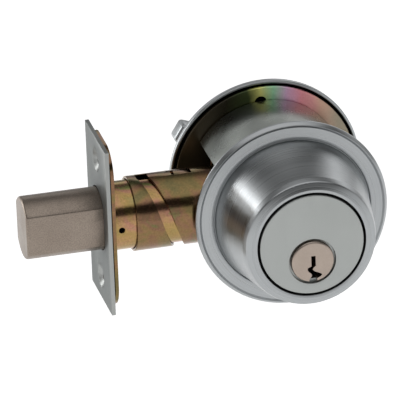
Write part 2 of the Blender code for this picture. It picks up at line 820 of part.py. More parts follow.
def make_mounting_plate():
    back = MOUNT_Y + MOUNT_THICK
    plate = turned("mounting_plate", [(0, MOUNT_Y), (MOUNT_RADIUS, MOUNT_Y), (MOUNT_RADIUS, back), (0, back)])
    spread = MOUNT_HOLE_Z * math.sin(MOUNT_HOLE_TILT)
    centre = rods("plate_centre", [((0, 10, AXIS_Z), (0, 30, AXIS_Z))], 8.0, is_tool=True)
    spots = [(side * -spread, side * MOUNT_HOLE_Z) for side in (1, -1)]
    locating = rods("locating_holes", [((x, 10, z), (x, 30, z)) for x, z in spots], 2.05, is_tool=True)
    bolt_holes = rods(
        "plate_bolt_holes",
        [((0, 10, side * POST_Z), (0, 30, side * POST_Z)) for side in (1, -1)],
        2.6,
        is_tool=True,
    )
    screw_holes = rods(
        "plate_screw_holes",
        [((side * ROSE_SCREW_X, 10, 0), (side * ROSE_SCREW_X, 30, 0)) for side in (1, -1)],
        1.5,
        TINY,
        is_tool=True,
    )
    cut(plate, centre, locating, bolt_holes, screw_holes)
    settle(plate, "yellow_zinc")

    head = back + GAP
    bolt = [
        (0, -8),
        (2.1, -8),
        (2.1, head),
        (3.4, head),
        (3.4, head + 1.3),
        (2.8, head + 2.0),
        (0, head + 2.0),
    ]
    for name, side in {"upper": 1, "lower": -1}.items():
        piece = turned("through_bolt_" + name, bolt, steps=TINY, centre=(0, side * POST_Z))
        settle(piece, "plain_steel")


def make_rose():
    outline = [
        (30.6, 18.3),
        (ROSE_RADIUS - 0.5, 18.3),
        (ROSE_RADIUS, 18.9),
        (ROSE_RADIUS, 19.9),
        (ROSE_RADIUS - 0.6, 20.9),
        (ROSE_RADIUS - 1.6, 21.3),
        (ROSE_RADIUS - 2.4, 21.0),
        (GROOVE_RADIUS + 0.6, 20.8),
        (GROOVE_RADIUS - 0.1, 21.0),
        (21.6, ROSE_FACE - 1.5),
        (20.8, ROSE_FACE - 0.4),
        (19.8, ROSE_FACE),
        (0, ROSE_FACE),
        (0, ROSE_FACE - 1.6),
        (19.0, ROSE_FACE - 1.6),
        (20.0, ROSE_FACE - 2.4),
        (24.2, 19.5),
        (30.3, 19.3),
    ]
    rose = turned("inside_rose", outline)
    holes = rods(
        "rose_screw_holes",
        [((side * ROSE_SCREW_X, 10, 0), (side * ROSE_SCREW_X, 30, 0)) for side in (1, -1)],
        1.6,
        TINY,
        is_tool=True,
    )
    turn_hole = rods("turn_opening", [((0, 25, AXIS_Z), (0, 40, AXIS_Z))], 6.5, BIG, is_tool=True)
    cut(rose, holes, turn_hole)
    settle(rose, "satin_chrome")
    screw = [(0, 17.5), (1.2, 17.5), (1.2, 21.25), (2.3, 21.25), (1.9, 22.3), (0, 22.5)]
    for name, side in SIDES.items():
        piece = turned("rose_screw_" + name, screw, steps=TINY, centre=(side * ROSE_SCREW_X, 0))
        settle(piece, "satin_chrome")


def make_thumbturn():
    shaft = [
        (0, 25.4),
        (6.0, 25.4),
        (6.0, 26.2),
        (5.0, 26.2),
        (5.0, 27.3),
        (6.0, 27.3),
        (6.0, ROSE_FACE + GAP),
        (TURN_HUB - 0.5, ROSE_FACE + GAP),
        (TURN_HUB - 0.5, WING_LOW + 1.0),
        (0, WING_LOW + 1.0),
    ]
    turn = turned("thumbturn", shaft, steps=36, centre=(0, AXIS_Z))
    wing = extruded("wing_stock", teardrop(), WING_LOW, WING_HIGH, is_tool=True)
    socket = extruded(
        "tail_socket",
        bar_section(TAIL_WIDTH + 2 * GAP, TAIL_THICK + 2 * GAP, CRANK_ANGLE),
        20,
        TAIL_END + 0.5,
        is_tool=True,
    )
    join(turn, wing)
    cut(turn, socket)
    settle(turn, "satin_chrome", turn_axis)
    clip = turned("turn_clip", ring(5.25, 8.4, 26.35, 27.15), steps=SMALL, centre=(0, AXIS_Z))
    settle(clip, "hardened_steel", turn_axis)
    washer_outline = ring(6.4, 10.2, 27.5, ROSE_FACE - 1.9)
    washer = turned("friction_washer", washer_outline, steps=SMALL, centre=(0, AXIS_Z))
    settle(washer, "hardened_steel")


clear_scene()
parts = new_collection("deadbolt_lock")
cutters = new_collection("cutters")
finishes = {name: make_finish(name) for name in FINISHES}
collar_axis = joint_empty("collar_axis", (0, COLLAR_BACK, 0))
plug_axis = joint_empty("plug_axis", (0, FACE_Y, AXIS_Z))
turn_axis = joint_empty("turn_axis", (0, ROSE_FACE, AXIS_Z))
bolt_axis = joint_empty("bolt_axis", (-BACKSET, 0, 0))
roller_axis = joint_empty("roller_axis", (-67, 0, -4.6))

make_collar()
make_housing()
make_cylinder()
make_plug()
make_pins()

plate_hole = bolt_form("bolt_opening", BOLT_RADIUS + GAP, BOLT_FLAT + GAP, -75, -40, EDGE_ROUND, is_tool=True)
backing_back = make_faceplate(plate_hole)
make_tubes(backing_back)
make_case()
make_bolt()
make_crank()

make_mounting_plate()
make_rose()
make_thumbturn()
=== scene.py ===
import math

import bpy
from mathutils import Matrix, Vector


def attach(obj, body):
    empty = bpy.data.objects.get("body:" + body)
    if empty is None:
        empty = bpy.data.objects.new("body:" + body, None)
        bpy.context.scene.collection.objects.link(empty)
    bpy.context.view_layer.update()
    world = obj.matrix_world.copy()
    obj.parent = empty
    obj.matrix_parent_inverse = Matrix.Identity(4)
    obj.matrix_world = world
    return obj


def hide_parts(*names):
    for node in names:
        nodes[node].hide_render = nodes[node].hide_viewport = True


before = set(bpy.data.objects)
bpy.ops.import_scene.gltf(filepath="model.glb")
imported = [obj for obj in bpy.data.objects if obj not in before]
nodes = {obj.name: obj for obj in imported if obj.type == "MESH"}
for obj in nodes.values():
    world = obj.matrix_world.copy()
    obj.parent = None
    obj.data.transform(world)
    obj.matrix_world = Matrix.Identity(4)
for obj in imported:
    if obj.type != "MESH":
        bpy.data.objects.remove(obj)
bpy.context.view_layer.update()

mm = 0.001
bpy.context.scene.view_settings.view_transform = "Standard"


def hexColor(text):
    # an sRGB hex value as the linear colour that the shader wants
    parts = [int(text[i:i + 2], 16) / 255 for i in (0, 2, 4)]
    return [c / 12.92 if c <= 0.04045 else ((c + 0.055) / 1.055) ** 2.4 for c in parts] + [1]


def addNode(tree, kind, inputs=None, **settings):
    # one node with its settings; an input is a value or the socket that feeds it
    node = tree.nodes.new("ShaderNode" + kind)
    for name, value in settings.items():
        setattr(node, name, value)
    for name, value in (inputs or {}).items():
        if isinstance(value, bpy.types.NodeSocket):
            tree.links.new(value, node.inputs[name])
        else:
            node.inputs[name].default_value = value
    return node


def rampOf(tree, factor, stops):
    # a colour ramp from (place, colour) stops, where a colour is a hex value or a grey level
    ramp = addNode(tree, "ValToRGB", {"Fac": factor})
    marks = ramp.color_ramp.elements
    while len(marks) < len(stops):
        marks.new(0.5)
    for mark, (place, color) in zip(marks, stops):
        mark.position = place
        mark.color = hexColor(color) if isinstance(color, str) else (color, color, color, 1)
    return ramp.outputs["Color"]


def pick(piece):
    if bpy.context.object and bpy.context.object.mode != "OBJECT":
        bpy.ops.object.mode_set(mode="OBJECT")
    bpy.ops.object.select_all(action="DESELECT")
    piece.select_set(True)
    bpy.context.view_layer.objects.active = piece


def editAll(piece):
    pick(piece)
    bpy.ops.object.mode_set(mode="EDIT")
    bpy.ops.mesh.select_mode(type="VERT")
    bpy.ops.mesh.select_all(action="SELECT")


def pickEdges(piece, test):
    # goes into edit mode with only the edges whose two ends, in mm, pass the test
    editAll(piece)
    bpy.ops.mesh.select_mode(type="EDGE")
    bpy.ops.mesh.select_all(action="DESELECT")
    bpy.ops.object.mode_set(mode="OBJECT")
    spots = [v.co / mm for v in piece.data.vertices]
    for edge in piece.data.edges:
        edge.select = test(spots[edge.vertices[0]], spots[edge.vertices[1]])
    bpy.ops.object.mode_set(mode="EDIT")


def leaveEdit():
    bpy.ops.object.mode_set(mode="OBJECT")


def arcCorners(outline, segments=5):
    # outline points (radius, place, fillet): a corner with a fillet becomes an arc
    points = []
    count = len(outline)
    for i, corner in enumerate(outline):
        here = Vector(corner[:2])
        fillet = corner[2] if len(corner) > 2 else 0
        if not fillet:
            points.append(here)
            continue
        back = (Vector(outline[i - 1][:2]) - here).normalized()
        on = (Vector(outline[(i + 1) % count][:2]) - here).normalized()
        half = math.acos(max(-1, min(1, back.dot(on)))) / 2
        reach = fillet / math.tan(half)
        middle = here + (back + on).normalized() * fillet / math.sin(half)
        start = here + back * reach - middle
        turn = (here + on * reach - middle).angle_signed(start)
        for step in range(segments + 1):
            points.append(middle + Matrix.Rotation(turn * step / segments, 2) @ start)
    return points


def turnPiece(name, outline, along="Y", centre=(0, 0), steps=128):
    # a ring is extruded from point to point of the outline and scaled to each radius
    points = arcCorners(outline)
    if along == "Y":
        lie = (math.pi / 2, 0, 0)
    else:
        lie = (0, math.pi / 2, 0)

    def spot(place):
        if along == "Y":
            return Vector((centre[0], place, centre[1])) * mm
        return Vector((place, centre[0], centre[1])) * mm

    solid = min(p.x for p in points) < 1e-6
    if solid:
        points = [p for p in points if p.x > 1e-6]
    else:
        points.append(points[0])
    bpy.ops.object.select_all(action="DESELECT")
    first = points[0]
    bpy.ops.mesh.primitive_circle_add(
        vertices=steps, radius=first.x * mm, location=spot(first.y), rotation=lie)
    piece = bpy.context.object
    piece.name = name
    piece.data.name = name
    bpy.ops.object.transform_apply(location=True, rotation=True, scale=True)
    editAll(piece)
    for here, there in zip(points, points[1:]):
        bpy.ops.mesh.extrude_region_move(
            TRANSFORM_OT_translate={"value": spot(there.y) - spot(here.y)})
        grow = there.x / here.x
        size = (grow, 1, grow) if along == "Y" else (1, grow, grow)
        bpy.ops.transform.resize(value=size, center_override=spot(there.y))
    bpy.ops.mesh.select_all(action="SELECT")
    if solid:
        bpy.ops.mesh.fill_holes(sides=0)
    else:
        bpy.ops.mesh.remove_doubles(threshold=0.002 * mm)
    bpy.ops.mesh.select_all(action="SELECT")
    bpy.ops.mesh.normals_make_consistent(inside=False)
    leaveEdit()
    return piece


def rodPiece(name, start, end, radius, steps=48):
    # a round bar between two points in mm
    start, end = Vector(start), Vector(end)
    lie = (end - start).to_track_quat("Z", "Y").to_euler()
    bpy.ops.object.select_all(action="DESELECT")
    bpy.ops.mesh.primitive_cylinder_add(
        vertices=steps, radius=radius * mm, depth=(end - start).length * mm,
        location=(start + end) / 2 * mm, rotation=lie)
    bpy.ops.object.transform_apply(location=True, rotation=True, scale=True)
    bpy.context.object.name = name
    return bpy.context.object


def crossRod(name, radius, x, z, front, back, steps=48):
    # a round bar that lies along the lock's axis
    return rodPiece(name, (x, front, z), (x, back, z), radius, steps)


def boxPiece(name, low, high):
    # a box between two corners in mm
    low, high = Vector(low), Vector(high)
    bpy.ops.object.select_all(action="DESELECT")
    bpy.ops.mesh.primitive_cube_add(size=1, location=(low + high) / 2 * mm)
    bpy.context.object.scale = (high - low) * mm
    bpy.ops.object.transform_apply(location=True, rotation=True, scale=True)
    bpy.context.object.name = name
    return bpy.context.object


def roundCorners(piece, width, segments, test):
    # a bevel on only the edges whose two ends pass the test
    pickEdges(piece, test)
    bpy.ops.mesh.bevel(offset=width * mm, segments=segments, affect="EDGES")
    leaveEdit()


def combine(piece, operation, *tools):
    # Boolean with each tool, which is then thrown away
    for tool in tools:
        step = piece.modifiers.new("combine", "BOOLEAN")
        step.operation = operation
        step.solver = "EXACT"
        step.object = tool
        pick(piece)
        bpy.ops.object.modifier_apply(modifier=step.name)
        bpy.data.objects.remove(tool, do_unlink=True)
    return piece


def easeEdges(piece, width, segments=3, angle=30):
    # rounds every edge sharper than the angle
    bevel = piece.modifiers.new("ease", "BEVEL")
    bevel.width = width * mm
    bevel.segments = segments
    bevel.limit_method = "ANGLE"
    bevel.angle_limit = math.radians(angle)
    pick(piece)
    bpy.ops.object.modifier_apply(modifier=bevel.name)
    return piece


def finishPiece(piece, material, body, slot, *stands, angle=32):
    # shading, finish, the body it rides on and the CAD nodes it stands for; the slot argument is not used
    piece.data.materials.clear()
    piece.data.materials.append(material)
    pick(piece)
    bpy.ops.object.shade_smooth_by_angle(angle=math.radians(angle))
    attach(piece, body)
    if stands:
        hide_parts(*stands)
    return piece


def newMetal(name, color, roughness):
    material = bpy.data.materials.new(name)
    material.use_nodes = True
    shader = material.node_tree.nodes["Principled BSDF"]
    shader.inputs["Base Color"].default_value = hexColor(color)
    shader.inputs["Metallic"].default_value = 1
    shader.inputs["Roughness"].default_value = roughness
    return material, material.node_tree, shader


def noiseOf(tree, place, size, detail, rough=0.6, **more):
    # noise whose blotches are about this many mm across
    return addNode(tree, "TexNoise", {
        "Vector": place, "Scale": 1 / (size * mm), "Detail": detail, "Roughness": rough,
        **more}).outputs["Fac"]


def stretch(tree, factor, low, high, start=0.3, stop=0.7):
    # most of the noise lies between start and stop: it is spread from low to high
    return addNode(tree, "MapRange", {
        "Value": factor, "From Min": start, "From Max": stop,
        "To Min": low, "To Max": high}).outputs["Result"]


def paint(tree, shader, color, level):
    # the base colour, lighter and darker with the level
    scaled = addNode(tree, "VectorMath", {0: color, "Scale": level}, operation="SCALE")
    tree.links.new(scaled.outputs[0], shader.inputs["Base Color"])


def blend(tree, factor, values):
    # the finish's colour and its shade, mixed
    return addNode(tree, "Mix", {
        "Factor": factor, "A": hexColor(values["color"]),
        "B": hexColor(values["shade"])}, data_type="RGBA").outputs["Result"]


def roughen(tree, shader, factor, values, less, more):
    # roughness that varies with the noise
    rough = stretch(tree, factor, values["roughness"] - less, values["roughness"] + more)
    tree.links.new(rough, shader.inputs["Roughness"])


def emboss(tree, shader, height, values, depth):
    # the noise as relief, with its depth in mm
    bump = addNode(tree, "Bump", {
        "Height": height, "Strength": values["bump"], "Distance": depth * mm})
    tree.links.new(bump.outputs["Normal"], shader.inputs["Normal"])


def satinChromePlate(name, values, turned=True):
    # Satin chrome over brass, brushed while it turned in the lathe: fine rings that catch the light
    # softly, with slow changes of tone where the brush pressed harder. Flat parts are brushed lengthwise.
    material, tree, shader = newMetal(name, values["color"], values["roughness"])
    shader.inputs["Specular Tint"].default_value = hexColor(values["edge"])
    place = addNode(tree, "TexCoord").outputs["Object"]
    if turned:
        split = addNode(tree, "SeparateXYZ", {"Vector": place})
        flat = addNode(tree, "VectorMath", {0: place, 1: (1, 0, 1)}, operation="MULTIPLY")
        across = addNode(tree, "VectorMath", {0: flat.outputs[0]}, operation="LENGTH").outputs["Value"]
        lines = addNode(tree, "CombineXYZ", {
            "X": across, "Y": split.outputs["Y"], "Z": 0.0}).outputs["Vector"]
        around = addNode(tree, "Tangent", direction_type="RADIAL", axis="Y").outputs["Tangent"]
        tree.links.new(around, shader.inputs["Tangent"])
        shader.inputs["Anisotropic"].default_value = values["stretch"]
        shader.inputs["Anisotropic Rotation"].default_value = 0.25  # light spreads across the rings
    else:
        lines = addNode(tree, "VectorMath", {0: place, 1: (0.2, 1, 0.03)}, operation="MULTIPLY").outputs[0]
    brush = noiseOf(tree, lines, values["lineSpacing"], 3.0, 0.7)
    cloud = noiseOf(tree, place, values["cloudSize"], 2.0, 0.5)
    roughen(tree, shader, brush, values, 0.05, 0.06)
    streak = stretch(tree, brush, 1 - values["streak"], 1 + values["streak"], 0.25, 0.75)
    paint(tree, shader, blend(tree, cloud, values), streak)
    emboss(tree, shader, brush, values, 0.02)
    return material


def grainedMetal(name, values):
    # Tumbled or cast metal: an even fine grain without direction, and slow blotches of tone
    material, tree, shader = newMetal(name, values["color"], values["roughness"])
    place = addNode(tree, "TexCoord").outputs["Object"]
    grain = noiseOf(tree, place, values["grain"], 2.0)
    blotch = noiseOf(tree, place, values["blotch"], 3.0)
    speckle = stretch(tree, grain, 1 - values["speckle"], 1 + values["speckle"])
    paint(tree, shader, blend(tree, blotch, values), speckle)
    roughen(tree, shader, blotch, values, 0.05, 0.05)
    emboss(tree, shader, grain, values, 0.05)
    return material


def yellowZincPlate(name, values):
    # Steel plated with zinc and passivated in yellow chromate: glossy gold brown, drifting to olive,
    # copper and pink where the film is thicker
    material, tree, shader = newMetal(name, values["color"], values["roughness"])
    place = addNode(tree, "TexCoord").outputs["Object"]
    drift = noiseOf(tree, place, values["drift"], 3.0, 0.55, Distortion=0.6)
    film = rampOf(tree, drift, values["film"])
    fine = noiseOf(tree, place, values["grain"], 3.0)
    paint(tree, shader, film, stretch(tree, fine, 1 - values["speckle"], 1 + values["speckle"]))
    roughen(tree, shader, fine, values, 0.04, 0.05)
    emboss(tree, shader, fine, values, 0.05)
    return material


def rainbowFilmAndShade(name, values):
    # The same chromate film on the mounting plate, of uneven thickness: its colours follow each other
    # across the plate through yellow, green, lilac and pink to brown; the left end is painted dark olive as
    # painted shadow of the lock, and the middle colours are painted pale as painted light on a plate in
    # shade
    material, tree, shader = newMetal(name, values["color"], values["roughness"])
    shader.inputs["Metallic"].default_value = values["metal"]  # the thick film scatters some light
    place = addNode(tree, "TexCoord").outputs["Object"]
    split = addNode(tree, "SeparateXYZ", {"Vector": place})
    along = addNode(tree, "Math", {
        0: split.outputs["X"], 1: 1 / (values["spread"] * mm)}, operation="MULTIPLY")
    wander = noiseOf(tree, place, values["drift"], 2.0, 0.5)
    shift = stretch(tree, wander, -values["wander"], values["wander"], 0.0, 1.0)
    drifted = addNode(tree, "Math", {0: along.outputs[0], 1: shift}, operation="ADD")
    film = rampOf(tree, stretch(tree, drifted.outputs[0], 0.0, 1.0, -1.0, 1.0), values["film"])
    fine = noiseOf(tree, place, values["grain"], 2.0)
    paint(tree, shader, film, stretch(tree, fine, 1 - values["speckle"], 1 + values["speckle"]))
    return material


def paintShadeInside(material, radius, back, shade):
    # painted shade on the hollow side, which faces the mounting plate and lies in shade: a near black mixed
    # into the colour inside this radius and before this distance along the lock
    tree = material.node_tree
    shader = tree.nodes["Principled BSDF"]
    split = addNode(tree, "SeparateXYZ", {"Vector": addNode(tree, "TexCoord").outputs["Object"]})
    level = addNode(tree, "VectorMath", {0: addNode(tree, "CombineXYZ", {
        "X": split.outputs["X"], "Z": split.outputs["Z"]}).outputs[0]}, operation="LENGTH")
    near = addNode(tree, "Math", {0: level.outputs["Value"], 1: radius * mm}, operation="LESS_THAN")
    low = addNode(tree, "Math", {0: split.outputs["Y"], 1: back * mm}, operation="LESS_THAN")
    inside = addNode(tree, "Math", {0: near.outputs[0], 1: low.outputs[0]}, operation="MULTIPLY")
    outer = shader.inputs["Base Color"].links[0].from_socket
    color = addNode(tree, "Mix", {
        "Factor": inside.outputs[0], "A": outer, "B": hexColor(shade)}, data_type="RGBA")
    tree.links.new(color.outputs["Result"], shader.inputs["Base Color"])


chrome = {"color": "abaeaf", "shade": "9ea1a3", "roughness": 0.3, "lineSpacing": 0.6, "cloudSize": 22,
          "streak": 0.1, "bump": 0.35, "stretch": 0.2, "edge": "ffffff"}
flatChrome = {"color": "a4a6a4", "shade": "9a9c9a", "roughness": 0.4, "lineSpacing": 0.35, "cloudSize": 14,
              "streak": 0.08, "bump": 0.2, "edge": "a0a2a4"}
# a near black painted over the rose's hollow side as shade
roseHollowShade = {"radius": 31.2, "back": 20.45, "shade": "0c0c0b"}  # the rose's hollow side
satinChrome = satinChromePlate("satinChromeTurned", chrome)
roseChrome = satinChromePlate("satinChromeRose", chrome)
paintShadeInside(roseChrome, roseHollowShade["radius"], roseHollowShade["back"], roseHollowShade["shade"])
plateChrome = satinChromePlate("satinChromeFlat", flatChrome, turned=False)
leverChrome = satinChromePlate("satinChromeLever", {
    **chrome, "streak": 0.06, "bump": 0.2}, turned=False)
faceChrome = satinChromePlate("satinChromeFace", {
    **chrome, "color": "a6a9a7", "shade": "9ea19f", "streak": 0.02, "roughness": 0.36}, turned=False)
satinNickel = grainedMetal("satinNickelTumbled", {
    "color": "92877c", "shade": "867a70", "roughness": 0.36, "grain": 0.4, "blotch": 9,
    "speckle": 0.2, "bump": 0.6})
castZinc = grainedMetal("dieCastZinc", {
    "color": "9a9e99", "shade": "8a8e8a", "roughness": 0.28, "grain": 0.4, "blotch": 12,
    "speckle": 0.05, "bump": 0.12})
nickelBrass = grainedMetal("nickelSilverMachined", {
    "color": "ada095", "shade": "a1948a", "roughness": 0.32, "grain": 0.3, "blotch": 6,
    "speckle": 0.05, "bump": 0.15})
plainSteel = grainedMetal("zincPlatedSteel", {
    "color": "9a9a98", "shade": "86868a", "roughness": 0.34, "grain": 0.3, "blotch": 8,
    "speckle": 0.06, "bump": 0.15})
hardSteel = grainedMetal("hardenedSteelGround", {
    "color": "6c6c6e", "shade": "5a5a5c", "roughness": 0.3, "grain": 0.25, "blotch": 6,
    "speckle": 0.08, "bump": 0.15})
pinBrass = grainedMetal("brassDrawn", {
    "color": "c2a05c", "shade": "b08f4e", "roughness": 0.28, "grain": 0.25, "blotch": 5,
    "speckle": 0.06, "bump": 0.12})
zincFilm = {
    "color": "9c8258", "roughness": 0.17, "drift": 9, "grain": 0.6, "bump": 0.2, "speckle": 0.16,
    "film": [(0.3, "6f6544"), (0.42, "7b6a46"), (0.5, "84694a"), (0.58, "80604c"), (0.7, "6c6b45")]}
yellowZinc = yellowZincPlate("yellowZincTube", zincFilm)
goldZinc = yellowZincPlate("yellowZincInnerTube", {
    **zincFilm, "film": [(0.3, "96875a"), (0.42, "9c8352"), (0.5, "a5865a"), (0.62, "a87a66"),
                         (0.7, "8c8a56")]})
rainbowZincAndShade = rainbowFilmAndShade("yellowZincPlate", {
    "color": "8a8460", "roughness": 0.2, "metal": 0.5, "drift": 12, "wander": 0.1, "spread": 32,
    "grain": 0.5, "speckle": 0.07,
    # the dark stops at the low end are painted shadow; the pale middle stops are film colour partly raised
    # as painted light
    "film": [(0.12, "4a4030"), (0.3, "2e2a1c"), (0.42, "46522e"), (0.48, "fdfa94"), (0.55, "b8f4c6"),
             (0.62, "f2c6ea"), (0.69, "ffa2ac"), (0.78, "c49c86"), (0.88, "948a76")]})
print("finishes made")


collarShape = {
    "outline": [
        (24.9, -15.2), (31.9, -15.2, 0.3), (31.85, -16.0, 0.25), (30.9, -17.2, 0.22), (30.1, -16.75, 0.4),
        (27.0, -17.3, 1.5), (26.2, -17.2, 0.3), (25.75, -16.3, 0.12), (21.95, -38.4, 1.2),
        (21.3, -40.6, 0.9), (18.8, -41.9, 0.5), (17.9, -41.65, 0.12), (17.9, -38.4), (20.0, -38.4),
        (22.3, -19.6), (23.6, -19.5), (23.6, -17.0), (24.9, -16.9)],
}
collar = turnPiece("outsideCollar", collarShape["outline"], steps=160)
finishPiece(collar, satinChrome, "collar", "satin_chrome", "outside_collar")

keyAxis = -5.88
cylinderFace = -41.9
cylinderShape = {
    "outline": [
        (0, cylinderFace), (17.1, cylinderFace, 0.35), (17.1, -36.0), (17.0, -35.8), (17.0, -15.1),
        (0, -15.1)],
    "bore": 6.62, "mouth": 7.7, "mouthDepth": 1.6, "mouthEase": 0.18,
    "pins": 5, "pitch": 3.97, "firstPin": -37.1, "chamber": 1.5, "chamberFoot": keyAxis + 3,
    "chamberTop": 20,
    # the milled slot for the cover over the springs
    "coverHalf": 2.8, "coverFront": -40, "coverBack": -18.4, "coverFloor": 14.4,
}
pinPlaces = [cylinderShape["firstPin"] + cylinderShape["pitch"] * row
             for row in range(cylinderShape["pins"])]


def pinRods(name, radius, low, high):
    # an upright bar at each pin
    return [rodPiece(name, (0, y, low), (0, y, high), radius, 24) for y in pinPlaces]


# a cutter that goes right through starts and stops clear of the piece
shell = turnPiece("cylinderShell", cylinderShape["outline"])
bore = crossRod("bore", cylinderShape["bore"], 0, keyAxis, -50, -10, 96)
mouth = crossRod("mouth", cylinderShape["mouth"], 0, keyAxis, -50,
                 cylinderFace + cylinderShape["mouthDepth"], 96)
chambers = pinRods("chamber", cylinderShape["chamber"], cylinderShape["chamberFoot"],
                   cylinderShape["chamberTop"])
milled = boxPiece(
    "coverSlot",
    (-cylinderShape["coverHalf"], cylinderShape["coverFront"], cylinderShape["coverFloor"]),
    (cylinderShape["coverHalf"], cylinderShape["coverBack"], cylinderShape["chamberTop"]))
combine(shell, "DIFFERENCE", bore, mouth, *chambers, milled)


def onMouth(a, b):
    reach = cylinderShape["mouth"] + 0.1
    return all(
        abs(p.y - cylinderFace) < 0.02 and math.hypot(p.x, p.z - keyAxis) < reach for p in (a, b))


roundCorners(shell, cylinderShape["mouthEase"], 3, onMouth)
finishPiece(shell, faceChrome, "lock_frame", "satin_chrome", "cylinder_shell")

plugShape = {
    "outline": [
        (0, -42.5), (7.05, -42.5, 0.75), (7.05, -40.6), (6.35, -40.6), (6.35, -14.5), (4.9, -14.5),
        (4.9, -13.4), (6.35, -13.4), (6.35, -12.5), (0, -12.5)],
    # the keyway's wards from top to bottom: left side, right side, height from the key axis
    "wards": [(-0.6, 0.85, 2.1), (-0.6, 0.85, -1.4), (-1.8, 0.1, -1.9), (-1.9, -0.2, -2.6),
              (-1.5, 0.5, -3.3), (-0.7, 2.0, -4.0), (-0.5, 2.9, -4.6), (-0.8, 2.4, -5.2),
              (-1.4, 1.2, -5.8), (-1.5, 1.2, -7.5)],
    "keyFront": -45, "keyDepth": 28, "recess": 4.2, "recessFront": -15.3,
    "pinHole": 1.5, "pinFoot": keyAxis - 0.5, "pinTop": keyAxis + 8,
}
plug = turnPiece("keyPlug", plugShape["outline"], centre=(0, keyAxis), steps=96)


def keywayCutter(wards, front, depth):
    # a strip is extruded down from ward to ward, then given its depth
    bpy.ops.object.select_all(action="DESELECT")
    bpy.ops.mesh.primitive_plane_add(size=1, rotation=(math.pi / 2, 0, 0), location=(0, front * mm, 0))
    cutter = bpy.context.object
    bpy.ops.object.transform_apply(location=True, rotation=True, scale=True)
    for corner in cutter.data.vertices:
        # the plane's four corners go to the first two wards
        left, right, height = wards[1] if corner.co.z < 0 else wards[0]
        corner.co.x = (left if corner.co.x < 0 else right) * mm
        corner.co.z = (keyAxis + height) * mm
    for upper, lower in zip(wards[1:], wards[2:]):
        level = keyAxis + upper[2]
        pickEdges(cutter, lambda a, b: all(abs(p.z - level) < 0.01 for p in (a, b)))
        bpy.ops.mesh.extrude_region_move(
            TRANSFORM_OT_translate={"value": (0, 0, (lower[2] - upper[2]) * mm)})
        middle = (upper[0] + upper[1]) / 2
        newMiddle = (lower[0] + lower[1]) / 2
        grow = (lower[1] - lower[0]) / (upper[1] - upper[0])
        bpy.ops.transform.resize(value=(grow, 1, 1), center_override=(middle * mm, 0, 0))
        bpy.ops.transform.translate(value=((newMiddle - middle) * mm, 0, 0))
        leaveEdit()
    editAll(cutter)
    bpy.ops.mesh.extrude_region_move(TRANSFORM_OT_translate={"value": (0, depth * mm, 0)})
    bpy.ops.mesh.select_all(action="SELECT")
    bpy.ops.mesh.normals_make_consistent(inside=False)
    leaveEdit()
    return cutter


keyCut = keywayCutter(plugShape["wards"], plugShape["keyFront"], plugShape["keyDepth"])
recess = crossRod("recess", plugShape["recess"], 0, keyAxis, plugShape["recessFront"], -10)
pinHoles = pinRods("pinHole", plugShape["pinHole"], plugShape["pinFoot"], plugShape["pinTop"])
combine(plug, "DIFFERENCE", keyCut, recess, *pinHoles)
finishPiece(plug, nickelBrass, "key_plug", "nickel_brass", "plug")
print("key side made")


housingShape = {
    "outline": [
        (0, -12.6), (0, -14.8), (17.4, -14.8), (17.4, -19.1, 0.3), (23.2, -19.1, 0.4), (23.2, -17.3, 0.3),
        (20.2, -17.3), (20.2, -14.8, 0.5), (24.6, -14.8, 0.5), (24.6, -13.15), (26.0, -13.15, 0.5),
        (26.0, 17.0, 0.35), (24.0, 17.0, 0.3), (24.0, -12.6, 0.6)],
    "post": 4.0, "postZ": 19.8, "postHole": 2.7, "postFront": -13.4, "postBack": -2.0,
    "latchHalf": 14.0, "latchFront": -12.5, "tailHole": 8.6,
    "screwHole": 1.9, "screwX": 12.5, "screwZ": -3,
}
housing = turnPiece("castHousing", housingShape["outline"], steps=160)
for side in (1, -1):
    z = side * housingShape["postZ"]
    combine(housing, "UNION", crossRod(
        "post", housingShape["post"], 0, z, housingShape["postFront"], housingShape["postBack"], 40))
    combine(housing, "DIFFERENCE", crossRod(
        "thread", housingShape["postHole"], 0, z, housingShape["postFront"] - 0.2, 0))
latchGap = boxPiece("latchGap", (-30, housingShape["latchFront"], -housingShape["latchHalf"]),
                    (-15, 20, housingShape["latchHalf"]))
tailHole = crossRod("tailHole", housingShape["tailHole"], 0, keyAxis, -18, -10, 64)
combine(housing, "DIFFERENCE", latchGap, tailHole)
for side in (1, -1):
    combine(housing, "DIFFERENCE", crossRod(
        "screwHole", housingShape["screwHole"], side * housingShape["screwX"], housingShape["screwZ"],
        -18, -10, 32))
finishPiece(housing, castZinc, "lock_frame", "die_cast_zinc", "cylinder_housing")
print("housing made")


backset = 60.325
boltShape = {
    "radius": 10.3, "flat": 7.94, "front": -backset - 25.4, "rear": -51.5, "frontEase": 0.85,
    "longEase": 0.22, "roller": 3.3, "rollerZ": -4.6, "rollerFront": -82.3,
    "slotHalf": 1.6, "slotFront": -57.4, "slotFloor": 0.1, "slotTop": 6.9,
    "rivet": 1.65, "rivetX": -54.3, "rivetZ": 3.5,
    "holeRadius": 10.6, "holeFlat": 8.24,  # the hole that the plates leave for it
}


def flatRod(name, radius, flat, front, rear, steps=128):
    # a round bar with a flat planed on either side
    rod = rodPiece(name, (front, 0, 0), (rear, 0, 0), radius, steps)
    for side in (1, -1):
        editAll(rod)
        bpy.ops.mesh.bisect(plane_co=(0, side * flat * mm, 0), plane_no=(0, side, 0),
                            use_fill=True, clear_outer=True)
        leaveEdit()
    return rod


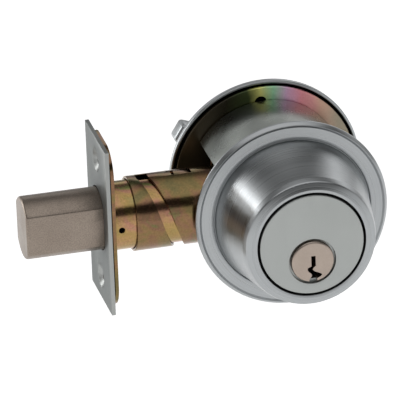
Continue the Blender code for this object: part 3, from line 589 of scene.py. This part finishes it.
bolt = flatRod("deadboltBar", boltShape["radius"], boltShape["flat"], boltShape["front"], boltShape["rear"])
roundCorners(bolt, boltShape["frontEase"], 5,
             lambda a, b: all(abs(p.x - boltShape["front"]) < 0.01 for p in (a, b)))
easeEdges(bolt, boltShape["longEase"], angle=34)
barSlot = boxPiece("barSlot",
                   (boltShape["slotFront"], -boltShape["slotHalf"], boltShape["slotFloor"]),
                   (-40, boltShape["slotHalf"], boltShape["slotTop"]))
rollerBore = rodPiece("rollerBore", (boltShape["rollerFront"], 0, boltShape["rollerZ"]),
                      (-45, 0, boltShape["rollerZ"]), boltShape["roller"])
rivetBore = crossRod("rivetBore", boltShape["rivet"], boltShape["rivetX"], boltShape["rivetZ"], -20, 20)
combine(bolt, "DIFFERENCE", barSlot, rollerBore, rivetBore)
finishPiece(bolt, satinNickel, "bolt", "satin_nickel", "deadbolt")

plateShape = {
    "width": 28.575, "height": 57.15, "thick": 1.3, "screwZ": 20.6, "ease": 0.22,
    "sinkRadius": 4.6, "sinkHole": 2.5,
    "backingGap": 0.3, "backingThick": 1.1, "backingCorner": 9.0, "backingTrim": 0.8, "backingEase": 0.2,
    "window": (9.5, 15.4, 23.4, 2.5),  # half width, inner and outer height, corner
}
plateBack = -backset + plateShape["thick"]
halfWidth, halfHeight = plateShape["width"] / 2, plateShape["height"] / 2


def cutBoltHole(plate):
    combine(plate, "DIFFERENCE", flatRod(
        "boltHole", boltShape["holeRadius"], boltShape["holeFlat"], -75, -40))


facePlate = boxPiece("facePlate", (-backset, -halfWidth, -halfHeight), (plateBack, halfWidth, halfHeight))
cutBoltHole(facePlate)
for side in (1, -1):
    sink = turnPiece("sink", [
        (0, -backset - 1), (plateShape["sinkRadius"] + 0.3, -backset - 1),
        (plateShape["sinkRadius"] - 0.5, -backset + 0.15), (plateShape["sinkHole"], plateBack - 0.2),
        (plateShape["sinkHole"], plateBack + 1), (0, plateBack + 1)],
        along="X", centre=(0, side * plateShape["screwZ"]), steps=64)
    combine(facePlate, "DIFFERENCE", sink)
easeEdges(facePlate, plateShape["ease"], angle=40)
finishPiece(facePlate, plateChrome, "lock_frame", "satin_chrome", "faceplate")


def throughPlate(a, b):
    # an edge that runs through the plate's thickness
    return abs(a.x - b.x) > 0.5


backFront = plateBack + plateShape["backingGap"]
backRear = backFront + plateShape["backingThick"]
backTop = halfHeight - plateShape["backingTrim"]
backPlate = boxPiece("backPlate", (backFront, -halfWidth, -backTop), (backRear, halfWidth, backTop))
roundCorners(backPlate, plateShape["backingCorner"], 14, throughPlate)
cutBoltHole(backPlate)
windowHalf, inner, outer, windowCorner = plateShape["window"]
for side in (1, -1):
    low, high = sorted((side * inner, side * outer))
    window = boxPiece("window", (backFront - 1, -windowHalf, low), (backRear + 1, windowHalf, high))
    roundCorners(window, windowCorner, 8, throughPlate)
    combine(backPlate, "DIFFERENCE", window)
easeEdges(backPlate, plateShape["backingEase"], angle=40)
finishPiece(backPlate, yellowZinc, "lock_frame", "yellow_zinc", "backing_plate")

tubeShape = {
    "front": [(10.5, backRear + 0.3), (11.2, backRear + 0.3, 0.15), (11.2, -30.0, 0.1), (10.5, -30.0)],
    "rear": [(11.45, -50.2, 0.2), (12.28, -50.2, 0.3), (12.28, -21.3, 0.15), (11.45, -21.3)],
    "sleeveEase": 0.1, "peep": 1.05, "peepX": -55.1, "peepZ": -0.5,
    # the slot's start along the latch, its width, its advance in half a turn, its angles and its radii
    "slotX": -47.4, "slotWidth": 4.0, "slotRise": 12.0, "slotFrom": 93, "slotSwing": 185,
    "slotInner": 10.85, "slotOuter": 13.3, "slotSteps": 60,
    "notchFront": -1, "notchBack": 3.2, "notchFoot": 8, "notchTop": 15,
    # each lanced mark is a slit with a foot at its end
    "lances": [(-35.9, -34.9), (-30.2, -29.2)], "lanceReach": (-1.2, 2.6), "lanceFloor": 10.4,
    "footWidth": 0.9, "footBefore": 1.3, "footAfter": 0.2,
}
slotEnd = tubeShape["slotX"] + tubeShape["slotWidth"]
frontTube = turnPiece("frontTube", tubeShape["front"], along="X")
tubeWindow = boxPiece("tubeWindow", (tubeShape["slotX"], 0, tubeShape["notchFoot"]),
                      (slotEnd, tubeShape["notchBack"], tubeShape["notchTop"]))
combine(frontTube, "DIFFERENCE", tubeWindow,
        crossRod("peep", tubeShape["peep"], tubeShape["peepX"], tubeShape["peepZ"], -15, -5, 32))
finishPiece(frontTube, goldZinc, "lock_frame", "yellow_zinc", "front_tube")


def slantedSlot(values):
    # a block's section is spun round the latch axis while it advances along it
    first = math.radians(values["slotFrom"])
    swing = math.radians(values["slotSwing"])
    bpy.ops.object.select_all(action="DESELECT")
    bpy.ops.mesh.primitive_plane_add(size=1)
    cutter = bpy.context.object
    for corner in cutter.data.vertices:
        x = slotEnd if corner.co.x > 0 else values["slotX"]
        radius = values["slotOuter"] if corner.co.y > 0 else values["slotInner"]
        corner.co = Vector((x, radius * math.cos(first), radius * math.sin(first))) * mm
    steps = values["slotSteps"]
    advance = values["slotRise"] * swing / math.pi / steps
    editAll(cutter)
    for step in range(steps):
        # each section is pushed out of the last, turned by one step and moved along
        bpy.ops.mesh.extrude_region_move(TRANSFORM_OT_translate={"value": (advance * mm, 0, 0)})
        bpy.ops.transform.rotate(value=-swing / steps, orient_axis="X", center_override=(0, 0, 0))
    bpy.ops.mesh.select_all(action="SELECT")
    bpy.ops.mesh.normals_make_consistent(inside=False)
    leaveEdit()
    return cutter


sleeve = turnPiece("rearSleeve", tubeShape["rear"], along="X", steps=160)
notch = boxPiece("notch", (tubeShape["slotX"], tubeShape["notchFront"], tubeShape["notchFoot"]),
                 (slotEnd, tubeShape["notchBack"], tubeShape["notchTop"]))
near, far = tubeShape["lanceReach"]
floorZ, topZ = tubeShape["lanceFloor"], tubeShape["notchTop"]
lances = []
for start, stop in tubeShape["lances"]:
    lances.append(boxPiece("lance", (start, near, floorZ), (stop, far, topZ)))
    lances.append(boxPiece(
        "lance", (start - tubeShape["footBefore"], far - tubeShape["footWidth"], floorZ),
        (stop + tubeShape["footAfter"], far, topZ)))
combine(sleeve, "DIFFERENCE", slantedSlot(tubeShape), notch, *lances)
easeEdges(sleeve, tubeShape["sleeveEase"], segments=2, angle=50)
finishPiece(sleeve, yellowZinc, "lock_frame", "yellow_zinc", "rear_sleeve")
print("latch made")


mountShape = {
    "radius": 30.25, "front": 17.7, "thick": 1.2, "ease": 0.3, "centreHole": 8.0,
    "locating": (25.1, 2.05, 2),  # distance from the axis, radius, lean in degrees
    "boltHole": 2.6, "screwX": 28.3, "screwHole": 1.5,
}
mountBack = mountShape["front"] + mountShape["thick"]
mountPlate = turnPiece("mountPlate", [
    (0, mountShape["front"]), (mountShape["radius"], mountShape["front"], mountShape["ease"]),
    (mountShape["radius"], mountBack, mountShape["ease"]), (0, mountBack)], steps=160)
reach, locatingRadius, tilt = mountShape["locating"]
spots = [((0, keyAxis), mountShape["centreHole"], 64)]
for side in (1, -1):
    lean = side * -reach * math.sin(math.radians(tilt))
    spots.append(((lean, side * reach), locatingRadius, 40))
    spots.append(((0, side * housingShape["postZ"]), mountShape["boltHole"], 40))
    spots.append(((side * mountShape["screwX"], 0), mountShape["screwHole"], 24))
for (x, z), radius, steps in spots:
    combine(mountPlate, "DIFFERENCE", crossRod("hole", radius, x, z, 10, 30, steps))
finishPiece(mountPlate, rainbowZincAndShade, "lock_frame", "yellow_zinc", "mounting_plate")

roseShape = {
    "outline": [
        (0, 29.0), (19.0, 29.0), (20.0, 28.2), (23.6, 20.4), (30.8, 20.2, 0.3), (31.15, 18.3, 0.4),
        (32.1, 18.3, 0.5), (32.1, 20.2, 0.3), (31.0, 21.2, 0.25), (30.2, 20.9, 0.4), (27.0, 21.4, 1.5),
        (26.2, 21.3, 0.3), (25.75, 20.5, 0.12), (21.7, 28.9, 1.2), (20.6, 30.6, 0.8), (0, 30.6)],
    "turnHole": 6.5, "screwHole": 1.6,
}
rose = turnPiece("insideRose", roseShape["outline"], steps=160)
combine(rose, "DIFFERENCE", crossRod("turnHole", roseShape["turnHole"], 0, keyAxis, 25, 40, 96))
for side in (1, -1):
    x = side * mountShape["screwX"]
    combine(rose, "DIFFERENCE", crossRod("hole", roseShape["screwHole"], x, 0, 10, 30, 24))
finishPiece(rose, roseChrome, "lock_frame", "satin_chrome", "inside_rose")

screwShape = {
    "outline": [
        (0, 17.5), (1.2, 17.5), (1.2, 21.25), (2.3, 21.25), (2.3, 21.6, 0.2), (1.5, 22.5, 0.6),
        (0, 22.5)],
    "recess": (1.6, 0.21, 21.95),  # half length and half width of the cross, and its floor
}
length, width, crossFloor = screwShape["recess"]
for side, name, node in ((-1, "roseScrewEdge", "rose_screw_edge_side"),
                         (1, "roseScrewFar", "rose_screw_far_side")):
    x = side * mountShape["screwX"]
    screw = turnPiece(name, screwShape["outline"], centre=(x, 0), steps=40)
    combine(screw, "DIFFERENCE",
            boxPiece("recess", (x - length, crossFloor, -width), (x + length, 24, width)),
            boxPiece("recess", (x - width, crossFloor, -length), (x + width, 24, length)))
    finishPiece(screw, satinChrome, "lock_frame", "satin_chrome", node)

turnShape = {
    "hub": 9.6, "length": 29.4, "halfTip": 3.3, "corner": 1.2, "low": 35.2, "high": 41.5, "angle": 33,
    "ease": 0.9, "socketHalf": (3.9, 1.4), "socketBack": 34.0, "socketLean": -45,
    "neck": [(0, 25.4), (6.0, 25.4), (6.0, 26.2), (5.0, 26.2), (5.0, 27.3), (6.0, 27.3), (6.0, 30.9),
             (9.1, 30.9, 0.3), (8.4, 36.2), (0, 36.2)],
}
lean = math.radians(turnShape["angle"])
away = Vector((-math.cos(lean), 0, math.sin(lean)))
aside = Vector((away.z, 0, -away.x))
wing = crossRod("thumbTurn", turnShape["hub"], 0, keyAxis, turnShape["low"], turnShape["high"], 96)
for side in (1, -1):
    tip = away * (turnShape["length"] - turnShape["corner"])
    tip = tip + aside * side * (turnShape["halfTip"] - turnShape["corner"]) + Vector((0, 0, keyAxis))
    corner = crossRod("corner", turnShape["corner"], tip.x, tip.z, turnShape["low"], turnShape["high"], 32)
    corner.select_set(True)
    wing.select_set(True)
    bpy.context.view_layer.objects.active = wing
    bpy.ops.object.join()
editAll(wing)
bpy.ops.mesh.convex_hull()
bpy.ops.mesh.select_all(action="SELECT")
bpy.ops.mesh.dissolve_limited(angle_limit=math.radians(0.5))
leaveEdit()
easeEdges(wing, turnShape["ease"], segments=4, angle=50)
neck = turnPiece("neck", turnShape["neck"], centre=(0, keyAxis), steps=96)
combine(wing, "UNION", neck)
socketLong, socketThin = turnShape["socketHalf"]
socket = boxPiece("socket", (-socketLong, 20, -socketThin),
                  (socketLong, turnShape["socketBack"], socketThin))
leaned = Matrix.Rotation(math.radians(turnShape["socketLean"]), 4, "Y")
socket.data.transform(Matrix.Translation((0, 0, keyAxis * mm)) @ leaned)
combine(wing, "DIFFERENCE", socket)
finishPiece(wing, leverChrome, "turn", "satin_chrome", "thumbturn")
print("thumbturn side made")


def easedCopy(name, node, width, material, body, slot):
    # the CAD node's own shape, cleaned to flat faces and with its edges eased
    copy = bpy.data.objects.new(name, nodes[node].data.copy())
    bpy.context.scene.collection.objects.link(copy)
    editAll(copy)
    bpy.ops.mesh.remove_doubles(threshold=0.001 * mm)
    bpy.ops.mesh.dissolve_limited(angle_limit=math.radians(1))
    leaveEdit()
    easeEdges(copy, width, segments=2, angle=40)
    return finishPiece(copy, material, body, slot, node, angle=30)


easedCopy("latchCase", "latch_case", 0.25, yellowZinc, "lock_frame", "yellow_zinc")
easedCopy("boltBar", "bolt_bar", 0.2, plainSteel, "bolt", "plain_steel")
easedCopy("tailPiece", "tailpiece", 0.25, plainSteel, "turn", "plain_steel")
carried = {
    plainSteel: ["spindle_cam", "bar_rivet", "collar_retainer", "plug_retainer", "through_bolt_upper",
                 "through_bolt_lower", "cylinder_screw_edge_side", "cylinder_screw_far_side"],
    hardSteel: ["saw_roller", "turn_clip", "friction_washer"] + [f"pin_spring_{n}" for n in range(1, 6)],
    pinBrass: ["spring_cover"] + [f"key_pin_{n}" for n in range(1, 6)],
    nickelBrass: [f"driver_pin_{n}" for n in range(1, 6)],
}
for material, names in carried.items():
    for name in names:
        piece = nodes[name]
        if not piece.material_slots:
            piece.data.materials.append(material)
        for holder in piece.material_slots:
            holder.material = material
print("carried pieces finished")


studio = {
    "floorZ": -100, "floorSize": 6, "floorGlow": 0.62,
    # brightness of the room in front and behind, by the sine of the elevation
    "front": [(0.0, 0.8), (0.24, 0.8), (0.38, 0.04), (0.7, 0.04), (0.8, 1.1), (1.0, 1.0)],
    "behind": [(0.0, 0.2), (0.2, 0.18), (0.36, 0.95), (0.48, 0.85), (0.6, 0.1), (0.8, 0.2), (1.0, 0.9)],
    # direction from the lock, distance, size in metres, brightness
    "boxes": {
        "backLeft": ((-0.75, 0.63, 0.16), 1.2, (0.5, 0.65), 3.9),
        "backRight": ((0.6, 0.75, 0.25), 1.2, (0.7, 0.5), 0.6),
    },
}
bpy.ops.object.select_all(action="DESELECT")
bpy.ops.mesh.primitive_plane_add(size=studio["floorSize"], location=(0, 0, studio["floorZ"] * mm))
floor = bpy.context.object
floor.name = "floor"
pale = bpy.data.materials.new("paleFloor")
pale.use_nodes = True
glow = {"Base Color": (0.8, 0.8, 0.8, 1), "Roughness": 0.9, "Emission Color": (1, 1, 1, 1),
        "Emission Strength": studio["floorGlow"]}
for name, value in glow.items():
    pale.node_tree.nodes["Principled BSDF"].inputs[name].default_value = value
floor.data.materials.append(pale)

world = bpy.data.worlds.new("studio")
bpy.context.scene.world = world
world.use_nodes = True
sky = world.node_tree
up = addNode(sky, "SeparateXYZ", {"Vector": addNode(sky, "TexCoord").outputs["Generated"]})
ahead, behind = (rampOf(sky, up.outputs["Z"], studio[half]) for half in ("front", "behind"))
toBack = addNode(sky, "MapRange", {"Value": up.outputs["Y"], "From Min": -0.4, "From Max": 0.4},
                 interpolation_type="SMOOTHSTEP")
room = addNode(sky, "Mix", {
    "Factor": toBack.outputs["Result"], "A": ahead, "B": behind}, data_type="RGBA")
sky.links.new(room.outputs["Result"], sky.nodes["Background"].inputs["Color"])

for name, (direction, distance, size, level) in studio["boxes"].items():
    lamp = bpy.data.lights.new(name, "AREA")
    lamp.shape = "RECTANGLE"
    lamp.size, lamp.size_y = size
    lamp.energy = level * math.pi * size[0] * size[1]
    box = bpy.data.objects.new(name, lamp)
    bpy.context.scene.collection.objects.link(box)
    toward = Vector(direction).normalized()
    box.location = toward * distance
    box.rotation_euler = toward.to_track_quat("Z", "Y").to_euler()

# angles in radians and distance in metres; the rest in mm: the picture's width at the lock, how far the
# lock's origin stands from the middle, and the sensor
view = {"turn": 0.225233788, "lift": 0.423675126, "roll": 0.0393479681, "distance": 2.0,
        "width": 129.901215484, "aside": 25.8074677, "above": 1.14550265, "sensor": 36}
turn, lift, roll = view["turn"], view["lift"], view["roll"]
right = Vector((math.cos(turn), -math.sin(turn), 0))
upward = Vector((math.sin(turn) * math.sin(lift), math.cos(turn) * math.sin(lift), math.cos(lift)))
outward = Vector((-math.sin(turn) * math.cos(lift), -math.cos(turn) * math.cos(lift), math.sin(lift)))
aim = -view["aside"] * mm * right - view["above"] * mm * upward
cameraData = bpy.data.cameras.new("camera")
camera = bpy.data.objects.new("camera", cameraData)
bpy.context.scene.collection.objects.link(camera)
axes = [right * math.cos(roll) - upward * math.sin(roll),
        right * math.sin(roll) + upward * math.cos(roll), outward]
turned = Matrix(axes).transposed()
camera.matrix_world = Matrix.Translation(outward * view["distance"] + aim) @ turned.to_4x4()
cameraData.sensor_width = view["sensor"]
cameraData.lens = view["sensor"] * view["distance"] / (view["width"] * mm)
bpy.context.scene.camera = camera
print("studio set")
